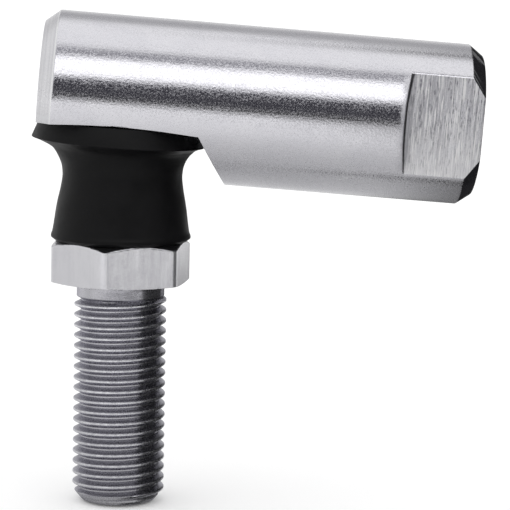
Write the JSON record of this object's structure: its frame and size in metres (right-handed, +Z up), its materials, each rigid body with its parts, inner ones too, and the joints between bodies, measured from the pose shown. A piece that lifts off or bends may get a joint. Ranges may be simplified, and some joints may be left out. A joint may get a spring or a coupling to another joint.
{
  "type": "right-angle ball joint rod end",
  "caption": "Right-angle ball joint rod end: a round steel socket with a female thread swivels on an upright hexagon ball stud, sealed by a rubber boot.",
  "frame": {"origin": "centre of the ball stud's threaded end face", "axes": "+Z up along the stud's axis, from the threaded end towards the ball; +X towards the housing's female-threaded end; the housing stands 3.75 degrees below square at rest"},
  "size_m": [0.0529, 0.0202, 0.0586],
  "materials": {
    "housing_steel": "bright zinc plate over turned bar, satin, mottled, with brushed milled flats",
    "stud_steel": "bright zinc plate over cold-headed hexagon and rolled thread, satin",
    "seat_steel": "bare hardened steel, finely turned, oiled",
    "spring_steel": "bare spring steel",
    "ring_steel": "phosphated spring steel, dark grey",
    "boot_rubber": "matte black moulded rubber, faint bloom on the edges"
  },
  "bodies": {
    "stud": {"ball_stud": "stud_steel"},
    "boot": {"dust_boot": "boot_rubber", "boot_lower_ring": "ring_steel"},
    "seats": {"upper_ball_seat": "seat_steel", "lower_ball_seat": "seat_steel", "preload_spring": "spring_steel", "boot_upper_ring": "ring_steel"},
    "housing": {"socket_housing": "housing_steel", "retaining_ring": "ring_steel"}
  },
  "joints": [
    {"name": "swivel_on_stud", "type": "hinge", "parent": "stud", "child": "boot", "pos_m": [0, 0, 0.0486], "axis": [0, 0, 1], "continuous": true},
    {"name": "tilt", "type": "hinge", "parent": "boot", "child": "seats", "pos_m": [0, 0, 0.0486], "axis": [0, 1, 0], "range_deg": [-21.75, 14.25], "deforming": ["dust_boot"]},
    {"name": "swivel_in_housing", "type": "hinge", "parent": "seats", "child": "housing", "pos_m": [0, 0, 0.0486], "axis": [0.0654, 0, 0.9979], "continuous": true}
  ]
}
